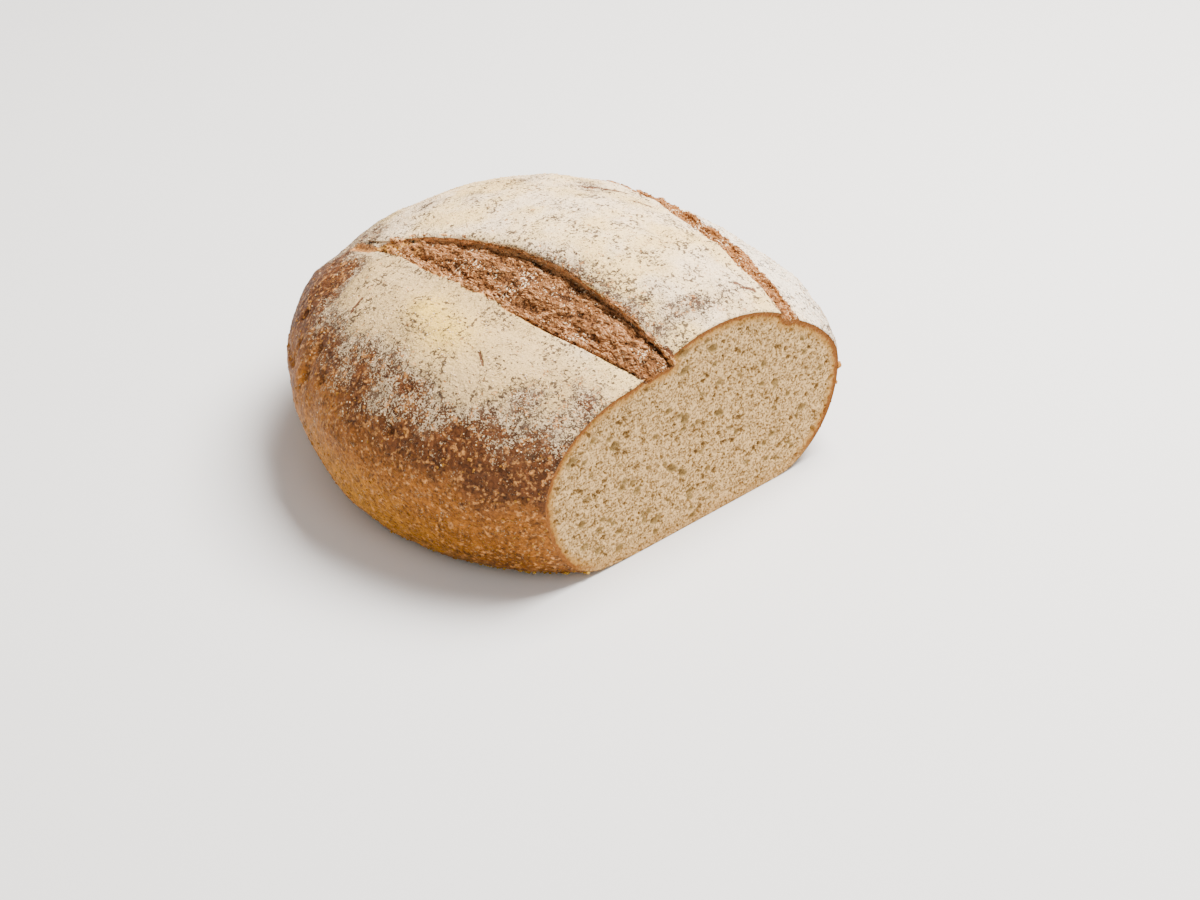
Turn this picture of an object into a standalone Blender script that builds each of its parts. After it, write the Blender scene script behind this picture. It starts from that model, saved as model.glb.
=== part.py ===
"""A round country loaf with two slashes in its crust, cut open across the front. Metres, +Z up.

The cut face looks along -Y and the slashes run along Y. The origin is at the bottom centre.
The loaf is lofted from upright slices, as if it were sliced bread: each slice is an outline in XZ.
"""

import math
import random

import bmesh
import bpy
import numpy as np
from mathutils import Matrix, Vector

NODE_NAME = "loaf"

# Reaches of the whole loaf from the point under the top of its dome, and its heights
LEFT_REACH = 0.140
RIGHT_REACH = 0.134
BACK_REACH = 0.154
FRONT_REACH = 0.139
HEIGHT = 0.1295
WIDEST_HEIGHT = 0.0555
BASE_SHARE = 0.775
DOME_LEAN = 0.006

# The cut stands this far in front of the top of the dome
CUT_DISTANCE = 0.0935

# Roundness of each outline: 2 is an ellipse, less is more pointed and more is squarer
LEFT_PLAN_ROUNDNESS = 1.95
RIGHT_PLAN_ROUNDNESS = 2.2
DOME_ROUNDNESS = 1.8
TUCK_ROUNDNESS = 1.9

# Slashes: places are from the point under the top of the dome, at the loaf's full opening
SLASH_FRONT_Y = -0.100
SLASH_BACK_Y = 0.097
SLASH_WIDEST_Y = -0.015
SLASH_FRONT_FADE = 0.115
SLASH_TAPER = 1.2
SLASH_END_SHARE = 0.06

# Each slash seen from the front: (half widths from its middle, depths above the smooth dome)
EAR_SECTION = (
    (-1.35, -0.30),
    (-1.00, -0.22),
    (-0.88, -0.60),
    (-0.50, -0.82),
    (-0.05, -0.72),
    (0.40, -0.84),
    (0.76, -1.00),
    (0.98, -0.92),
    (0.88, -0.36),
    (0.80, -0.04),
    (0.94, 0.16),
    (1.35, 0.22),
)
OPEN_SECTION = (
    (-1.35, 0.04),
    (-1.00, 0.08),
    (-0.84, -0.48),
    (-0.42, -0.90),
    (0.10, -1.00),
    (0.55, -0.96),
    (0.84, -0.84),
    (1.00, -0.60),
    (1.35, -0.74),
)

# Soft forms of the crust between the slashes and on the sides
BAND_CROWN = 0.0008
BAND_FRONT_CROWN = 0.0036
BAND_CROWN_START_Y = -0.095
BAND_CROWN_END_Y = -0.010
LEFT_LOBE_CROWN = 0.0030
LOBE_CREST_SHARE = 0.80
LOBE_END_REACH = 0.90
FLANK_FADE = 0.085
LOBE_LIP_FADE = 0.022
FOLD_DEPTH = 0.0025
FOLD_MIDDLE = (-0.078, 0.086)
FOLD_REACH = (0.048, 0.040)
FOLD_START_Y = 0.064
FOLD_END_Y = 0.080
FLOOR_ROUGHNESS = 0.0008
UNEVENNESS = 0.0007
WAVE_COUNT = 7
WAVE_LENGTHS = (0.045, 0.110)
RELIEF_HEIGHTS = (0.001, 0.020)

# Creases where the crust folded in on the left side: (y, height, depth, half width, half height)
SIDE_CREASES = (
    (0.062, 0.074, 0.0030, 0.0045, 0.013),
    (0.046, 0.058, 0.0022, 0.0040, 0.011),
    (0.084, 0.060, 0.0020, 0.0045, 0.012),
    (0.022, 0.050, 0.0016, 0.0035, 0.009),
)

# Open pores of the crumb that show as dents in the cut face
PORE_COUNT = 34
PORE_RADII = (0.0015, 0.0029)
PORE_SPACING = 0.0105
PORE_MARGIN = 0.012
PORE_DEPTH_SHARE = 0.62
PORE_HEIGHT_SHARE = 0.72
PORE_TURN = 0.6

# How finely the loaf is faceted
ROWS = 46
OUTLINE_STEPS = 160
BASE_COLUMNS = 4
BASE_PATH_SHARE = 0.30
FLANK_COLUMNS = 24
BAND_COLUMNS = 13

# Random draws, and the crust's look
SEED = 11
CRUST_COLOUR = (0.42, 0.20, 0.075, 1.0)
CRUST_ROUGHNESS = 0.72


def smooth_step(value, start, end):
    """Rises softly from 0 at start to 1 at end."""
    share = np.clip((value - start) / (end - start), 0.0, 1.0)
    return share * share * (3.0 - 2.0 * share)


class Slash:
    """One slash: the line it follows over the loaf, how wide it opened and how deep it sank."""

    def __init__(self, front_x, back_x, bow, width, depth, section):
        self.front_x = front_x
        self.back_x = back_x
        self.bow = bow
        self.width = width
        self.depth = depth
        self.section = section

    def middle(self, y):
        """X of the slash's middle line."""
        share = (y - SLASH_FRONT_Y) / (SLASH_BACK_Y - SLASH_FRONT_Y)
        straight = self.front_x + (self.back_x - self.front_x) * share
        return straight + self.bow * 4.0 * share * (1.0 - share)

    def opening(self, y):
        """How far the slash has opened, from 0 at its tail to 1 where it is widest."""
        fade = SLASH_BACK_Y - SLASH_WIDEST_Y if y > SLASH_WIDEST_Y else SLASH_FRONT_FADE
        away = min(abs(y - SLASH_WIDEST_Y) / fade, 1.0)
        return (1.0 - away * away) ** SLASH_TAPER


LEFT_SLASH = Slash(-0.0255, -0.0485, -0.003, width=0.038, depth=0.0105, section=EAR_SECTION)
RIGHT_SLASH = Slash(0.0640, 0.095, 0.006, width=0.026, depth=0.0085, section=OPEN_SECTION)


def reach_at_height(z):
    """How far the loaf reaches at a height, as a share of its widest outline."""
    above = np.clip((z - WIDEST_HEIGHT) / (HEIGHT - WIDEST_HEIGHT), 0.0, 1.0)
    below = np.clip((WIDEST_HEIGHT - z) / WIDEST_HEIGHT, 0.0, 1.0)
    dome = (1.0 - above**DOME_ROUNDNESS) ** (1.0 / DOME_ROUNDNESS)
    tuck = (1.0 - below**TUCK_ROUNDNESS) ** (1.0 / TUCK_ROUNDNESS)
    return np.where(z > WIDEST_HEIGHT, dome, BASE_SHARE + (1.0 - BASE_SHARE) * tuck)


def reach_of_slice(y):
    """How far out a slice stands, from 0 under the top of the dome to 1 at the loaf's end."""
    return min(abs(y) / (BACK_REACH if y > 0.0 else FRONT_REACH), 1.0)


def heights_at_reach(reach):
    """The lowest and the highest point of the skin this far out, as a share of the widest outline."""
    dome = (1.0 - reach**DOME_ROUNDNESS) ** (1.0 / DOME_ROUNDNESS)
    tucked = max(reach - BASE_SHARE, 0.0) / (1.0 - BASE_SHARE)
    tuck = (1.0 - tucked**TUCK_ROUNDNESS) ** (1.0 / TUCK_ROUNDNESS)
    return WIDEST_HEIGHT * (1.0 - tuck), WIDEST_HEIGHT + (HEIGHT - WIDEST_HEIGHT) * dome


def half_width_share(z, reach, roundness):
    """Half the slice's width at a height, as a share of the side's reach."""
    share = reach_at_height(z) ** roundness - reach**roundness
    return np.clip(share, 0.0, None) ** (1.0 / roundness)


def smooth_outline(y):
    """The slice's outline in XZ without its relief, from bottom centre up the left side and round."""
    reach = reach_of_slice(y)
    low, high = heights_at_reach(reach)
    turn = np.sin(np.linspace(-math.pi / 2, math.pi / 2, OUTLINE_STEPS))
    z = WIDEST_HEIGHT + np.where(turn < 0.0, (WIDEST_HEIGHT - low) * turn, (high - WIDEST_HEIGHT) * turn)
    left = -LEFT_REACH * half_width_share(z, reach, LEFT_PLAN_ROUNDNESS)
    right = RIGHT_REACH * half_width_share(z, reach, RIGHT_PLAN_ROUNDNESS)
    lean = DOME_LEAN * smooth_step(z, WIDEST_HEIGHT, HEIGHT)
    x = np.concatenate([[0.0], left + lean, (right + lean)[::-1], [0.0]])
    z = np.concatenate([z[:1], z, z[::-1], z[:1]])
    return np.stack([x, z], axis=1)


def path_lengths(outline):
    """Distance along the outline to each of its points."""
    steps = np.linalg.norm(np.diff(outline, axis=0), axis=1)
    return np.concatenate([[0.0], np.cumsum(steps)])


def slash_places(slash, y, outline, lengths):
    """Where the columns of a slash stand along the outline, and how far each rises."""
    half_slice = np.abs(outline[:, 0]).max()
    known_y = min(y, SLASH_BACK_Y)
    known_half = np.abs(smooth_outline(known_y)[:, 0]).max()
    middle_x = slash.middle(known_y) / known_half * half_slice
    top = outline[:, 1] >= WIDEST_HEIGHT
    middle = np.interp(middle_x, outline[top, 0], lengths[top])
    opening = slash.opening(y)
    half_width = max(slash.width * opening, SLASH_END_SHARE * half_slice) / 2.0
    across, rise = np.array(slash.section).T
    return middle + across * half_width, rise * slash.depth * opening


def flank_places(start, end):
    """Columns from the bottom centre to a slash: a few under the base and the rest above it."""
    base = np.linspace(0.0, BASE_PATH_SHARE, BASE_COLUMNS)[:-1]
    side = np.linspace(BASE_PATH_SHARE, 1.0, FLANK_COLUMNS + 1)[:-1]
    return start + (end - start) * np.concatenate([base, side])


def left_flank_rise(y, z):
    """The left lobe's crown, the fold behind it and the creases low on the side."""
    top = heights_at_reach(min(reach_of_slice(y), LOBE_END_REACH))[1]
    crest = LOBE_CREST_SHARE * top
    shoulder = smooth_step(z, WIDEST_HEIGHT, crest) * (1.0 - smooth_step(z, crest, top))
    rise = LEFT_LOBE_CROWN * shoulder
    for crease_y, height, depth, half_width, half_height in SIDE_CREASES:
        away = ((y - crease_y) / half_width) ** 2 + ((z - height) / half_height) ** 2
        rise = rise - depth * np.exp(-away)
    return rise


def slice_columns(y, waves, chance):
    """One slice: its outline's points with all their relief, as rows of X and Z."""
    outline = smooth_outline(y)
    lengths = path_lengths(outline)
    left_slash, left_rise = slash_places(LEFT_SLASH, y, outline, lengths)
    right_slash, right_rise = slash_places(RIGHT_SLASH, y, outline, lengths)
    left_flank = flank_places(0.0, left_slash[0])
    right_flank = flank_places(lengths[-1], right_slash[-1])[::-1]
    band = np.linspace(left_slash[-1], right_slash[0], BAND_COLUMNS + 2)[1:-1]
    places = np.concatenate([left_flank, left_slash, band, right_slash, right_flank[:-1]])

    x = np.interp(places, lengths, outline[:, 0])
    z = np.interp(places, lengths, outline[:, 1])
    tangent = np.stack([np.gradient(outline[:, 0]), np.gradient(outline[:, 1])], axis=1)
    outward_x = np.interp(places, lengths, -tangent[:, 1])
    outward_z = np.interp(places, lengths, tangent[:, 0])
    size = np.maximum(np.hypot(outward_x, outward_z), 1e-9)

    across_band = np.linspace(-1.0, 1.0, BAND_COLUMNS + 2)[1:-1]
    ends = left_rise[-1] + (right_rise[0] - left_rise[-1]) * (across_band + 1.0) / 2.0
    raised = smooth_step(y, BAND_CROWN_START_Y, BAND_CROWN_END_Y)
    crown = BAND_FRONT_CROWN + (BAND_CROWN - BAND_FRONT_CROWN) * raised
    band_rise = ends + crown * (1.0 - across_band**2)
    left_z = np.interp(left_flank, lengths, outline[:, 1])
    near_lip = smooth_step(left_flank, left_slash[0] - LOBE_LIP_FADE, left_slash[0])
    left_side = left_flank_rise(y, left_z) * (1.0 - near_lip) + left_rise[0] * near_lip
    beyond_lip = smooth_step(right_flank, right_slash[-1], right_slash[-1] + FLANK_FADE)
    right_side = right_rise[-1] * (1.0 - beyond_lip)
    left_rise = roughened(left_rise, LEFT_SLASH.opening(y), chance)
    right_rise = roughened(right_rise, RIGHT_SLASH.opening(y), chance)
    rise = np.concatenate([left_side, left_rise, band_rise, right_rise, right_side[:-1]])
    rise = rise + unevenness(x, y, z, waves) + fold_rise(x, y)
    rise = rise * smooth_step(z, *RELIEF_HEIGHTS)
    return np.stack([x + outward_x / size * rise, z + outward_z / size * rise], axis=1)


def roughened(rise, opening, chance):
    """The torn floor of a slash, uneven between its two lips, which keep their height."""
    bumps = np.array([chance.uniform(-1.0, 1.0) for _ in rise])
    bumps[:2] = 0.0
    bumps[-3:] = 0.0
    return rise + bumps * FLOOR_ROUGHNESS * opening


def make_waves(chance):
    """Slow waves of random direction, length and phase that make the dough uneven."""
    waves = []
    for _ in range(WAVE_COUNT):
        direction = Vector([chance.gauss(0.0, 1.0) for _ in range(3)]).normalized()
        wave = direction * math.tau / chance.uniform(*WAVE_LENGTHS)
        waves.append((wave, chance.uniform(0.0, math.tau)))
    return waves


def fold_rise(x, y):
    """The crust sinks behind the left lobe, which ends there in a soft fold."""
    across, along = (x - FOLD_MIDDLE[0]) / FOLD_REACH[0], (y - FOLD_MIDDLE[1]) / FOLD_REACH[1]
    return -FOLD_DEPTH * np.exp(-(across**2) - along**2) * smooth_step(y, FOLD_START_Y, FOLD_END_Y)


def unevenness(x, y, z, waves):
    """Gentle swells and hollows all over the crust."""
    total = sum(np.sin(wave.x * x + wave.y * y + wave.z * z + phase) for wave, phase in waves)
    return UNEVENNESS * total / math.sqrt(len(waves) / 2.0)


def slice_stations():
    """Y of every slice, evenly spaced along the top of the dome from the cut to the back."""
    steps = np.linspace(0.0, 1.0, 400)
    y = -CUT_DISTANCE + (BACK_REACH + CUT_DISTANCE) * (1.0 - (1.0 - steps) ** 2)
    top = [heights_at_reach(reach_of_slice(place))[1] for place in y]
    lengths = path_lengths(np.stack([y, top], axis=1))
    even = np.linspace(0.0, lengths[-1], ROWS + 1)[:-1]
    return np.interp(even, lengths, y)


def loft_loaf(chance):
    """The loaf's closed skin: slices bridged in order, the cut face and a point at the back."""
    waves = make_waves(chance)
    bm = bmesh.new()
    rings = []
    for y in slice_stations():
        points = slice_columns(y, waves, chance)
        rings.append([bm.verts.new((x, y, z)) for x, z in points])
    for near, far in zip(rings, rings[1:]):
        for index, corner in enumerate(near):
            after = (index + 1) % len(near)
            bm.faces.new((corner, near[after], far[after], far[index]))
    bm.faces.new(rings[0])
    back = bm.verts.new((0.0, BACK_REACH, WIDEST_HEIGHT))
    for index, corner in enumerate(rings[-1]):
        bm.faces.new((rings[-1][(index + 1) % len(rings[-1])], back, corner))
    bmesh.ops.recalc_face_normals(bm, faces=bm.faces)
    return bm


def inside_cut_face(x, z):
    """Whether a point of the cut face is clear of the crust all round."""
    reach = CUT_DISTANCE / FRONT_REACH
    side = RIGHT_REACH if x > 0.0 else LEFT_REACH
    roundness = RIGHT_PLAN_ROUNDNESS if x > 0.0 else LEFT_PLAN_ROUNDNESS
    sink = 0.0
    for slash in (LEFT_SLASH, RIGHT_SLASH):
        if abs(x - slash.middle(-CUT_DISTANCE)) < slash.width:
            sink = slash.depth
    beside = side * float(half_width_share(np.array(z), reach, roundness)) - PORE_MARGIN
    below = side * float(half_width_share(np.array(z + sink + PORE_MARGIN), reach, roundness))
    return abs(x) < min(beside, below)


def make_pore_cutter(chance, crust_material):
    """Squashed balls along the cut face. Subtracting them leaves the larger pores of the crumb."""
    bm = bmesh.new()
    places = []
    while len(places) < PORE_COUNT:
        x = chance.uniform(-LEFT_REACH, RIGHT_REACH)
        z = chance.uniform(PORE_MARGIN, HEIGHT)
        crowded = any(math.dist((x, z), other) < PORE_SPACING for other in places)
        if crowded or not inside_cut_face(x, z):
            continue
        places.append((x, z))
        radius = chance.uniform(*PORE_RADII)
        ball = bmesh.ops.create_icosphere(bm, subdivisions=1, radius=radius)["verts"]
        bmesh.ops.scale(bm, verts=ball, vec=(1.0, PORE_DEPTH_SHARE, PORE_HEIGHT_SHARE))
        turn = Matrix.Rotation(chance.uniform(-PORE_TURN, PORE_TURN), 3, "Y")
        bmesh.ops.rotate(bm, verts=ball, cent=(0.0, 0.0, 0.0), matrix=turn)
        bmesh.ops.translate(bm, verts=ball, vec=(x, -CUT_DISTANCE, z))
    cutter = add_object("pore_cutter", bm, crust_material)
    cutter.hide_render = True
    cutter.display_type = "WIRE"
    return cutter


def add_object(name, bm, material):
    """Turns a bmesh into a named object with one material."""
    mesh = bpy.data.meshes.new(name)
    bm.to_mesh(mesh)
    bm.free()
    mesh.materials.append(material)
    item = bpy.data.objects.new(name, mesh)
    bpy.context.scene.collection.objects.link(item)
    return item


def make_crust_material():
    """Baked crust: brown, matt and a little glossy where the dough skin was tight."""
    material = bpy.data.materials.new("crust")
    material.use_nodes = True
    shader = material.node_tree.nodes["Principled BSDF"]
    shader.inputs["Base Color"].default_value = CRUST_COLOUR
    shader.inputs["Roughness"].default_value = CRUST_ROUGHNESS
    shader.inputs["Metallic"].default_value = 0.0
    return material


def put_origin_at_bottom_centre(items):
    """Moves every mesh alike, so that the loaf's box stands centred on the origin."""
    points = np.array([vertex.co for vertex in items[0].data.vertices])
    low, high = points.min(axis=0), points.max(axis=0)
    shift = Vector((-(low[0] + high[0]) / 2.0, -(low[1] + high[1]) / 2.0, -low[2]))
    for item in items:
        item.data.transform(Matrix.Translation(shift))


def build():
    for item in list(bpy.data.objects):
        bpy.data.objects.remove(item)
    chance = random.Random(SEED)
    crust = make_crust_material()
    loaf = add_object(NODE_NAME, loft_loaf(chance), crust)
    cutter = make_pore_cutter(chance, crust)
    put_origin_at_bottom_centre([loaf, cutter])
    pores = loaf.modifiers.new("pores", "BOOLEAN")
    pores.operation = "DIFFERENCE"
    pores.solver = "EXACT"
    pores.object = cutter
    loaf.data.shade_smooth()
    loaf.data.set_sharp_from_angle(angle=math.radians(50.0))


build()
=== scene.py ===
# %% [markdown]
# # A round country loaf, cut open
# A country loaf is one lump of dough, floured, slashed and baked, then sliced from one side.
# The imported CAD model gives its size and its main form, and it is loaded first, as a fixed frame.
# Around it this lesson makes what the eye reads as bread: the baked skin, the torn floors of the
# slashes, the crumb with its pores, the loose flour and bran, and a finish for each of them.

# %% Load the frame
import math
import random
from functools import reduce

import bpy
import numpy as np
from mathutils import Matrix, Vector, kdtree, noise


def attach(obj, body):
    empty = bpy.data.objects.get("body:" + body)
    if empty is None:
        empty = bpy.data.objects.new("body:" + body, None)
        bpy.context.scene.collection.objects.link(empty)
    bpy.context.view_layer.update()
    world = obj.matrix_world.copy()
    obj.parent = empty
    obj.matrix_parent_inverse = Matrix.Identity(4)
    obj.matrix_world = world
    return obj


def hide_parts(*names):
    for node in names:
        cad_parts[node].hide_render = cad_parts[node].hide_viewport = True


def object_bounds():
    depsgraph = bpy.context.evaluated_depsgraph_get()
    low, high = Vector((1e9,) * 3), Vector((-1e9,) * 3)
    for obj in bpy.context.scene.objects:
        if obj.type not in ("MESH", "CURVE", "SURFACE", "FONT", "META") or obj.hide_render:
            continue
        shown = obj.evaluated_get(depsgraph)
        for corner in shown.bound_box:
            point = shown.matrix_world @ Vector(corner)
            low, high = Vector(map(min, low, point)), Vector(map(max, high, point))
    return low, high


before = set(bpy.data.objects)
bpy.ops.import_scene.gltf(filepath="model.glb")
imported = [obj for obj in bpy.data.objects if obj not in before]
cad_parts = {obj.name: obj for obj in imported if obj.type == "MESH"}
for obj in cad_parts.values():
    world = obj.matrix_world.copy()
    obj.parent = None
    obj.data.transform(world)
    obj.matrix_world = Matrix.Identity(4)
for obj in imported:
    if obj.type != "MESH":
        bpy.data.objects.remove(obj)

MM = 0.001
cad_low, cad_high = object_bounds()
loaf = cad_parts["loaf"]
CUT_Y = cad_low.y
SEED = 7
chance = random.Random(SEED)
draws = np.random.default_rng(SEED)
print("CAD box in mm:", [round(side / MM, 1) for side in cad_high - cad_low])

# %% [markdown]
# ## The view
# The loaf is seen from in front of its left shoulder and from above, by a long lens, so its sides
# hardly converge. A camera that stands far off with a narrow angle does the same. It is placed by
# turning round the loaf, because azimuth and elevation say more than three coordinates.

# %% Place the camera
CAMERA_AZIMUTH = math.radians(-43.3)
CAMERA_ELEVATION = math.radians(33.07)
CAMERA_DISTANCE = 1.6
AIM_RIGHT = 0.0398
AIM_UP = -0.0115
LENS_MM = 90.7

tilt = Matrix.Rotation(math.pi / 2 - CAMERA_ELEVATION, 4, "X")
turn = Matrix.Rotation(CAMERA_AZIMUTH, 4, "Z") @ tilt
eye = turn @ Vector((AIM_RIGHT, AIM_UP, CAMERA_DISTANCE))
bpy.ops.object.camera_add(location=eye, rotation=turn.to_euler())
camera = bpy.context.object
camera.data.lens = LENS_MM
bpy.context.scene.camera = camera
picture_right = turn.to_3x3() @ Vector((1.0, 0.0, 0.0))
picture_away = Vector((-picture_right.y, picture_right.x, 0.0))
print("camera at", [round(value, 3) for value in eye])

# %% [markdown]
# ## Light and floor
# Bread is shown in soft daylight: a wide window behind it and a bright room in front. A large area
# lamp makes the window, a second one fills the front, and a pale world lights the rest. The window
# stands behind and to the right, so that the flour glows and the left side falls darker.

# %% Hang the lamps
def hang_lamp(name, toward, height, distance, size, watts, warmth):
    """A square lamp that faces the loaf from a direction across the picture and a height."""
    across, away = toward
    direction = (across * picture_right + away * picture_away + Vector((0.0, 0.0, height))).normalized()
    bpy.ops.object.light_add(type="AREA", location=direction * distance)
    lamp = bpy.context.object
    lamp.name = name
    lamp.data.size = size
    lamp.data.energy = watts
    lamp.data.color = warmth
    lamp.rotation_euler = direction.to_track_quat("Z", "Y").to_euler()
    return lamp


hang_lamp("window", (0.50, 0.22), 1.2, 1.6, 1.0, 103.0, (1.0, 0.97, 0.93))
hang_lamp("room", (0.1, -0.9), 0.75, 1.8, 1.4, 9.0, (1.0, 0.98, 0.95))
world = bpy.data.worlds.new("pale_room")
bpy.context.scene.world = world
world.use_nodes = True
sky = world.node_tree.nodes["Background"]
sky.inputs["Color"].default_value = (1.0, 0.98, 0.96, 1.0)
sky.inputs["Strength"].default_value = 0.42

# %% [markdown]
# ## Writing finishes
# A finish is worked out by nodes. Sums of nodes are hard to read as a drawing of wires, so a small
# class wraps an output socket and lets it be added, scaled and compared like a number.

# %% A socket that can be written in sums
def math_step(operation, reflected=False):
    """An operator that adds one Math node; reflected is for a number that stands first."""
    def work(signal, other):
        first, second = (other, signal) if reflected else (signal, other)
        return signal.finish.sum_of(operation, first, second)
    return work


class Signal:
    """One output of a shader node, used like a number."""

    def __init__(self, finish, socket):
        self.finish = finish
        self.socket = socket

    __add__ = math_step("ADD")
    __radd__ = math_step("ADD", reflected=True)
    __sub__ = math_step("SUBTRACT")
    __rsub__ = math_step("SUBTRACT", reflected=True)
    __mul__ = math_step("MULTIPLY")
    __rmul__ = math_step("MULTIPLY", reflected=True)
    largest = math_step("MAXIMUM")

    def soft(self, start, end):
        """Rises softly from 0 at start to 1 at end."""
        ease = {"interpolation_type": "SMOOTHSTEP"}
        inputs = {"Value": self, "From Min": start, "From Max": end}
        return self.finish.node("ShaderNodeMapRange", ease, inputs)


class Finish:
    """One material, its nodes and what reaches its shader."""

    def __init__(self, name, roughness, shine=0.5):
        self.material = bpy.data.materials.new(name)
        self.material.use_nodes = True
        self.tree = self.material.node_tree
        self.shader = self.tree.nodes["Principled BSDF"]
        self.shader.inputs["Roughness"].default_value = roughness
        self.shader.inputs["Specular IOR Level"].default_value = shine
        self.place = self.node("ShaderNodeTexCoord", {}, {}, "Object")

    def node(self, kind, settings, inputs, output=0):
        """Adds a node: its settings first, then the values or links of its sockets."""
        node = self.tree.nodes.new(kind)
        for name, value in settings.items():
            setattr(node, name, value)
        for name, value in inputs.items():
            self.feed(node.inputs[name], value)
        return Signal(self, node.outputs[output])

    def feed(self, socket, value):
        if isinstance(value, Signal):
            self.tree.links.new(value.socket, socket)
        elif socket.type == "RGBA":
            socket.default_value = (*value, 1.0)
        else:
            socket.default_value = value

    def sum_of(self, operation, first, second=0.0):
        """One step of a sum on numbers."""
        return self.node("ShaderNodeMath", {"operation": operation}, {0: first, 1: second})

    def vector(self, operation, first, second, output=0):
        """One step of a sum on places or colours."""
        inputs = {0: first, 1: second}
        return self.node("ShaderNodeVectorMath", {"operation": operation}, inputs, output)

    def noise(self, size, detail=2.0, roughness=0.5):
        """Cloudy values around 0.5, whose blotches are about this big in mm."""
        inputs = {"Vector": self.place, "Scale": 1.0 / (size * MM), "Detail": detail, "Roughness": roughness}
        return self.node("ShaderNodeTexNoise", {}, inputs)

    def clouds(self, size, amount, detail=2.0, roughness=0.5):
        """Cloudy values around 0, as strong as the amount says."""
        return (self.noise(size, detail, roughness) - 0.5) * amount

    def blend(self, share, first, second):
        """A colour between two others."""
        return self.node("ShaderNodeMix", {"data_type": "RGBA"}, {0: share, 6: first, 7: second}, 2)

    def shade(self, colour, share):
        """A colour made darker or lighter by a share of it."""
        grey = self.node("ShaderNodeCombineXYZ", {}, {0: share, 1: share, 2: share})
        return self.vector("MULTIPLY", colour, grey)

    def height(self, axis="Z"):
        """Height over the table in mm, or the place along another axis."""
        return self.node("ShaderNodeSeparateXYZ", {}, {0: self.place}, axis) * (1.0 / MM)

    def streaks(self, width, length, turn):
        """How far from thin wavy lines, this wide and long in mm and turned in plan: 0 on them."""
        inputs = {"Vector": self.place, "Rotation": (0.0, 0.0, turn)}
        turned = self.node("ShaderNodeMapping", {}, inputs)
        thin = 1.0 / (width * MM)
        squeezed = self.vector("MULTIPLY", turned, (1.0 / (length * MM), thin, thin))
        inputs = {"Vector": squeezed, "Scale": 1.0, "Detail": 2.0}
        ridges = self.node("ShaderNodeTexNoise", {}, inputs)
        return self.sum_of("ABSOLUTE", ridges - 0.5)

    def near_line(self, start, end, width, wiggle):
        """1 on a thin line between two places, seen from above, and 0 beside it, all in mm."""
        start, end = Vector((*start, 0.0)) * MM, Vector((*end, 0.0)) * MM
        width *= MM
        along = end - start
        away = self.vector("SUBTRACT", self.vector("ADD", self.place, wiggle), tuple(start))
        away = self.vector("MULTIPLY", away, (1.0, 1.0, 0.0))
        share = self.vector("DOT_PRODUCT", away, tuple(along / along.length_squared), "Value")
        share = self.sum_of("MINIMUM", share.largest(0.0), 1.0)
        inputs = {0: tuple(along), 3: share}
        middle = self.node("ShaderNodeVectorMath", {"operation": "SCALE"}, inputs)
        return self.vector("DISTANCE", away, middle, "Value").soft(width, width * 0.35)

    def attribute(self, name):
        """A number that the mesh stores on its vertices."""
        return self.node("ShaderNodeAttribute", {"attribute_name": name}, {}, "Fac")

    def relief(self, height, depth):
        """Raises the surface by up to this depth where height is 1."""
        bump = self.node("ShaderNodeBump", {}, {"Strength": 1.0, "Distance": depth, "Height": height})
        self.feed(self.shader.inputs["Normal"], bump)

    def colour(self, value):
        self.feed(self.shader.inputs["Base Color"], value)


# %% [markdown]
# A pale board or table top under the loaf catches its shadow. It is a plane, and it is staging, not part of
# the loaf.

# %% Lay the floor
def deselect():
    bpy.ops.object.select_all(action="DESELECT")


deselect()
bpy.ops.mesh.primitive_plane_add(size=8.0, location=(0.0, 0.0, -0.2 * MM))
floor = bpy.context.object
floor.name = "floor"
floor_finish = Finish("pale_table", 0.8)
floor_finish.colour(floor_finish.blend(floor_finish.noise(250.0), (0.83, 0.82, 0.81), (0.86, 0.85, 0.84)))
floor.data.materials.append(floor_finish.material)

# %% [markdown]
# ## Where the slashes run
# Before baking, the baker cuts the skin twice, and the dough bursts open there. The crust is
# floured everywhere but in those openings, so skin, floors and flour all need to know where they
# lie. Each opening follows a bowed line from the cut face back, widest in its middle, and these are
# the same lines as in the CAD model, measured here from the cut. A slash may later be nudged sideways.

# %% The slashes in the frame
DOME_X = 3.4 * MM
SLASH_START = -6.5 * MM
SLASH_END = 190.5 * MM
SLASH_WIDEST = 78.5 * MM
SLASH_FRONT_FADE = 115.0 * MM
SLASH_TAPER = 1.2
NUDGE_START = 2.0 * MM
NUDGE_RAMP = 30.0 * MM


class Slash:
    """One slash: the line it follows, how wide it opened and how far it leans down the side."""

    def __init__(self, name, front_x, back_x, bow, width, lean):
        self.name = name
        self.front_x = front_x + DOME_X
        self.back_x = back_x + DOME_X
        self.bow = bow
        self.half_width = width / 2.0 * math.cos(math.radians(lean))
        self.nudge = 0.0

    def middle(self, y):
        share = (y - CUT_Y - SLASH_START) / (SLASH_END - SLASH_START)
        line = self.front_x + (self.back_x - self.front_x) * share + self.bow * 4.0 * share * (1.0 - share)
        return line + self.nudge * np.clip((y - CUT_Y - NUDGE_START) / NUDGE_RAMP, 0.0, 1.0)

    def opening(self, y):
        away = y - CUT_Y - SLASH_WIDEST
        fade = np.where(away > 0.0, SLASH_END - SLASH_WIDEST, SLASH_FRONT_FADE)
        return (1.0 - np.clip(np.abs(away) / fade, 0.0, 1.0) ** 2) ** SLASH_TAPER

    def across(self, x, y):
        """Where a point lies across the slash: -1 at the left lip and 1 at the right lip."""
        return (x - self.middle(y)) / np.maximum(self.half_width * self.opening(y), 0.05 * MM)


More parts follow.
